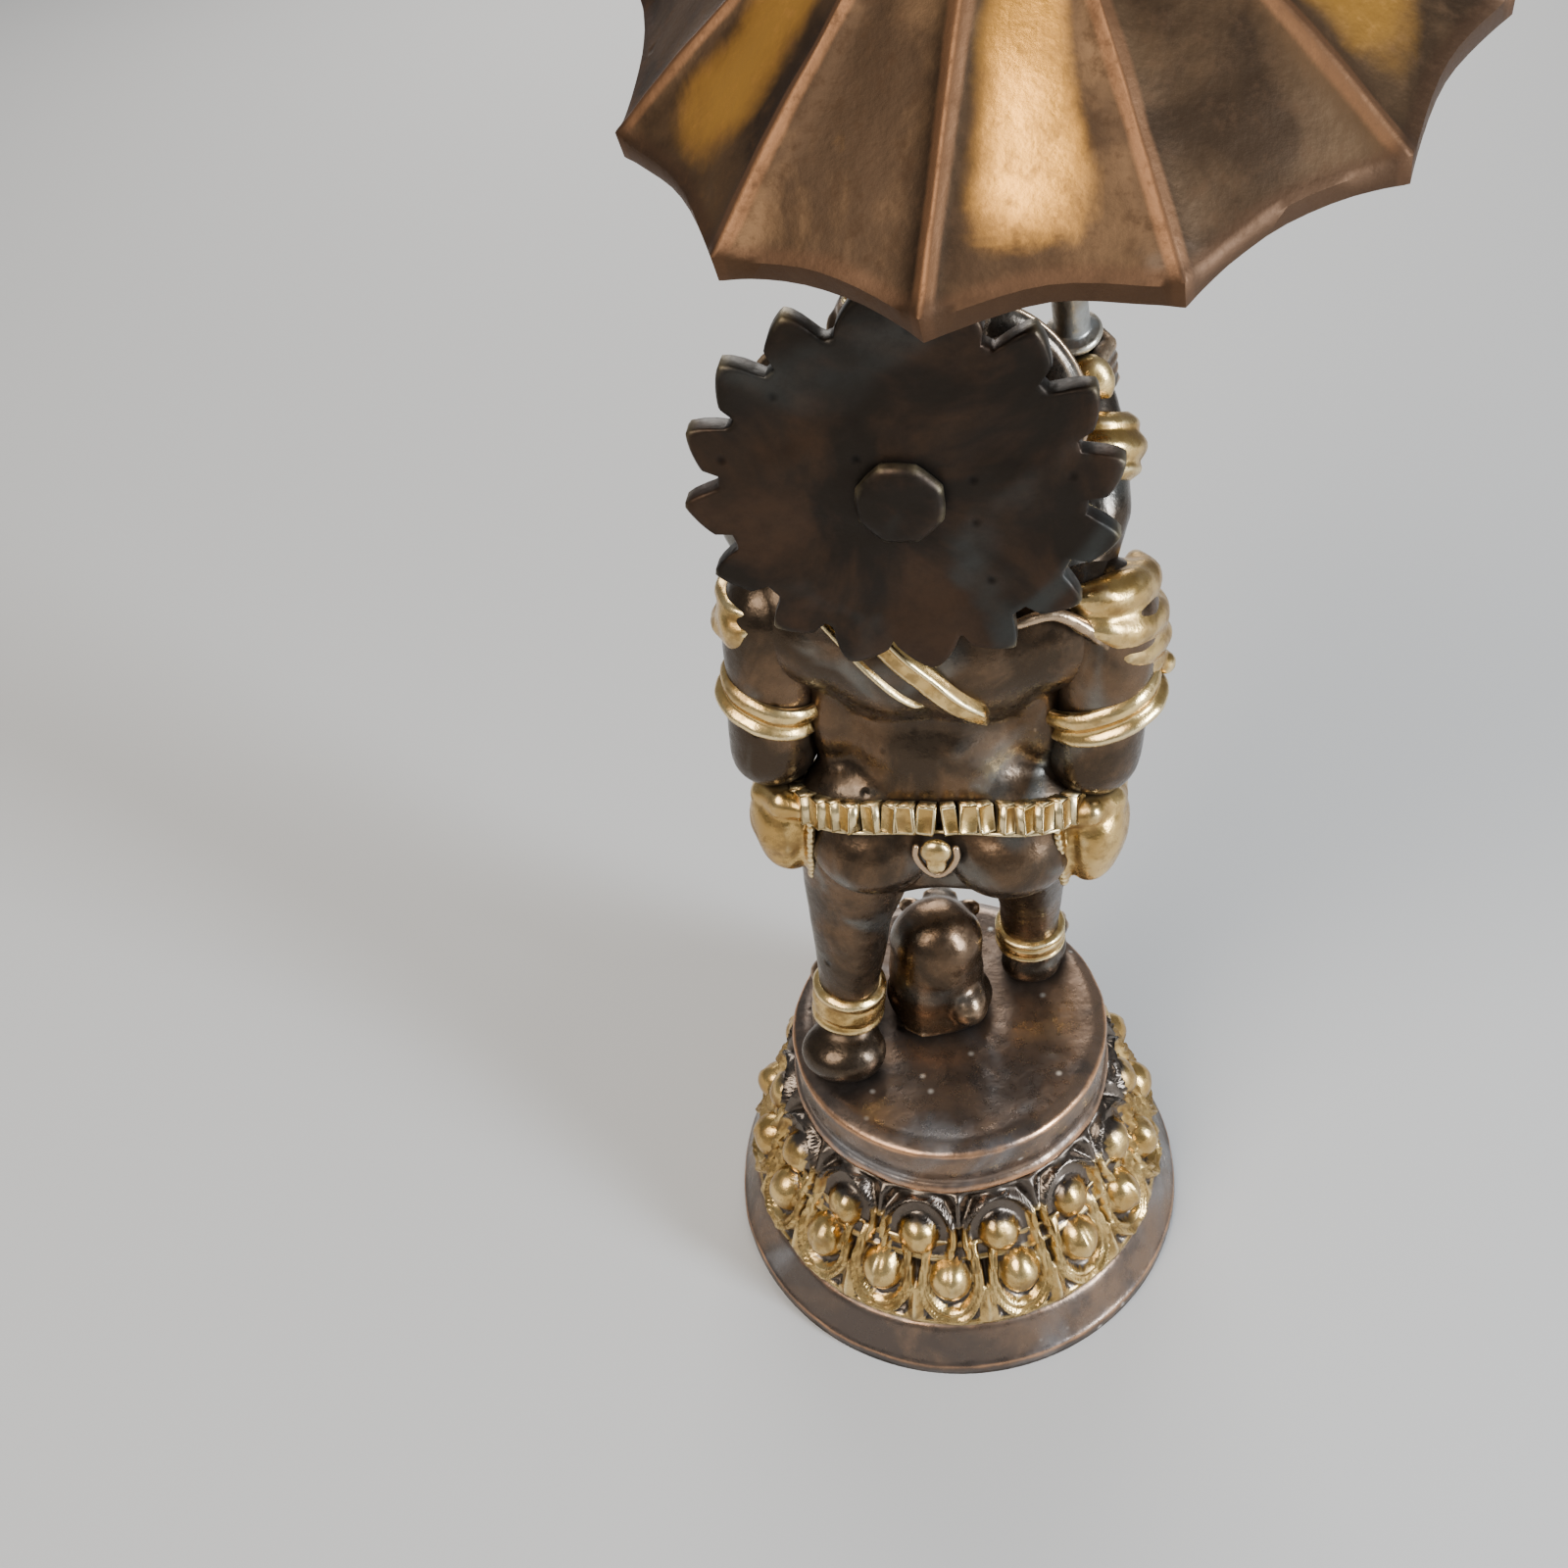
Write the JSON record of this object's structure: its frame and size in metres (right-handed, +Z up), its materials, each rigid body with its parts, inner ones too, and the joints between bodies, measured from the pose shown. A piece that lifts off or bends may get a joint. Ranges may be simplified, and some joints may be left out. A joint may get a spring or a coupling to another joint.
{
  "type": "brass parasol deity statuette",
  "caption": "Cast brass figure of a stout, elephant-headed deity on a lotus pedestal, with a sun disc behind its head and a lift-out parasol that turns on its staff.",
  "frame": {"origin": "centre of the object's box on the surface it stands on", "axes": "+Z up, the figure faces -Y, its left hand is towards +X"},
  "size_m": [0.0737, 0.0626, 0.1826],
  "materials": {
    "figure_bronze": "dark brown patina, rubbed to copper and grey on the high places",
    "worn_gold_brass": "bright worn brass with dark grime in the grooves",
    "pedestal_bronze": "brown patina with a coppery worn rim and pale specks",
    "disc_patina": "dark brown-black patina, satin, tooth edges worn to brass",
    "parasol_brass": "golden brown, panels rubbed bright in the middle, dark borders, coppery ribs",
    "staff_brass": "grey-brown, pitted"
  },
  "bodies": {
    "figure": {"anklet_left": "worn_gold_brass", "anklet_right": "worn_gold_brass", "armlet_lower_left": "worn_gold_brass", "armlet_lower_right": "worn_gold_brass", "armlet_upper_left": "worn_gold_brass", "armlet_upper_right": "worn_gold_brass", "bangle_lower_left": "worn_gold_brass", "bangle_lower_right": "worn_gold_brass", "bangle_upper_left": "worn_gold_brass", "bangle_upper_right": "worn_gold_brass", "belt": "worn_gold_brass", "belt_pendant": "worn_gold_brass", "crown": "figure_bronze", "disc_peg": "disc_patina", "head": "figure_bronze", "left_ear": "figure_bronze", "left_leg": "figure_bronze", "left_sash_end": "worn_gold_brass", "left_tusk": "worn_gold_brass", "lotus_petals_lower": "worn_gold_brass", "lotus_petals_upper": "worn_gold_brass", "lower_left_arm": "figure_bronze", "lower_right_arm": "figure_bronze", "mouse": "figure_bronze", "pedestal": "pedestal_bronze", "right_ear": "figure_bronze", "right_leg": "figure_bronze", "right_sash_end": "worn_gold_brass", "right_tusk": "worn_gold_brass", "sun_disc": "disc_patina", "thread_thick": "worn_gold_brass", "thread_thin": "worn_gold_brass", "torso": "figure_bronze", "trunk": "figure_bronze", "upper_left_arm": "figure_bronze", "upper_right_arm": "figure_bronze"},
    "staff": {"parasol_staff": "staff_brass"},
    "canopy": {"parasol_canopy": "parasol_brass", "canopy_hub": "parasol_brass", "parasol_finial": "parasol_brass"}
  },
  "joints": [
    {"name": "parasol_lift", "type": "slide", "parent": "figure", "child": "staff", "axis": [0.0847, 0.3029, 0.9492], "range_m": [0, 0.019]},
    {"name": "parasol_spin", "type": "hinge", "parent": "staff", "child": "canopy", "pos_m": [-0.00416, 0.00001, 0.1557], "axis": [0.0847, 0.3029, 0.9492], "continuous": true}
  ]
}
